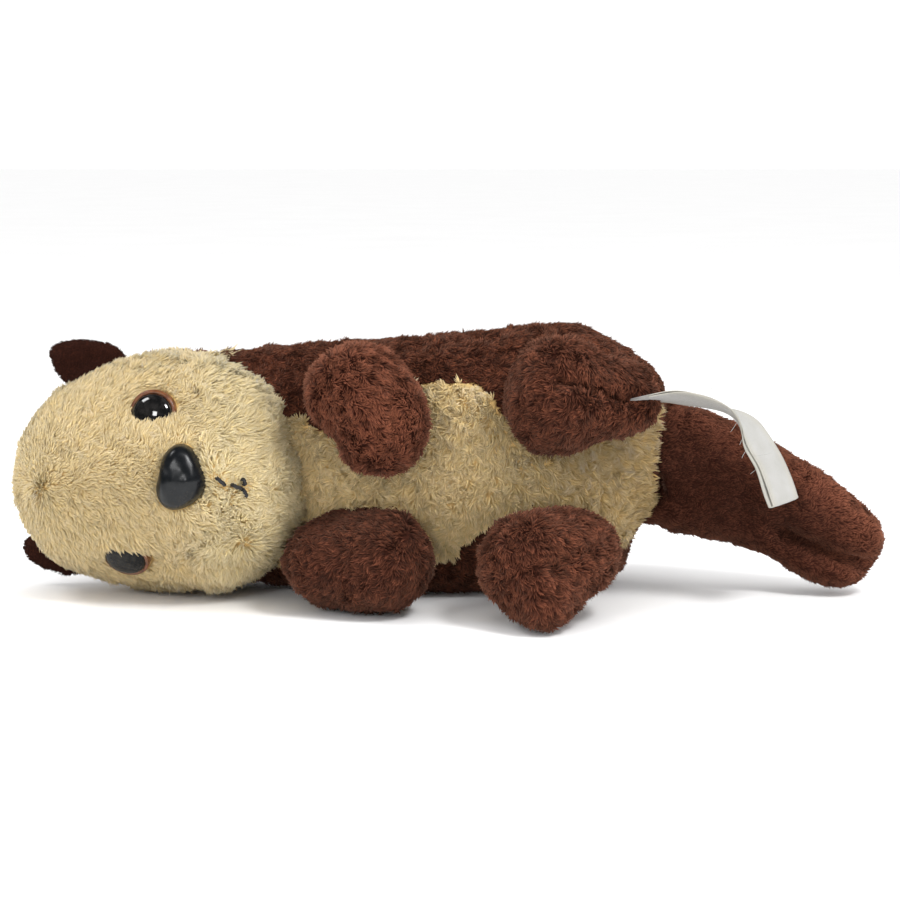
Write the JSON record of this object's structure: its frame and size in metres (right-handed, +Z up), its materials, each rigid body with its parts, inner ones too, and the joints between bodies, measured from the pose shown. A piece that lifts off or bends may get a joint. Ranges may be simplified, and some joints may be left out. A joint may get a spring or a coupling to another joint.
{
  "type": "plush otter toy",
  "caption": "Soft stuffed toy sea otter lying on its right side, with short pile fur, a cream face and belly, plastic eyes and nose, stub arms, round feet and a flat tail.",
  "frame": {"origin": "on the floor under the middle of the toy's box, as it lies on its right side", "axes": "+X from the head to the tip of the tail, -Y the way the belly and face look, +Z up"},
  "size_m": [0.1818, 0.077, 0.0563],
  "materials": {
    "cream_pile": "short soft pile",
    "brown_pile": "short soft pile",
    "ear_cloth": "very short pile",
    "eye_plastic": "polished, with a red-brown rim",
    "nose_plastic": "satin gloss",
    "label_tape": "fine woven tape"
  },
  "bodies": {
    "root": {"head_face": "cream_pile", "head_back": "brown_pile", "ear_left": "ear_cloth", "ear_right": "ear_cloth", "eye_left": "eye_plastic", "eye_right": "eye_plastic", "nose": "nose_plastic", "trunk": "brown_pile", "belly": "cream_pile", "arm_left": "brown_pile", "arm_right": "brown_pile", "foot_left": "brown_pile", "foot_right": "brown_pile", "tail": "brown_pile", "label": "label_tape"}
  },
  "joints": []
}
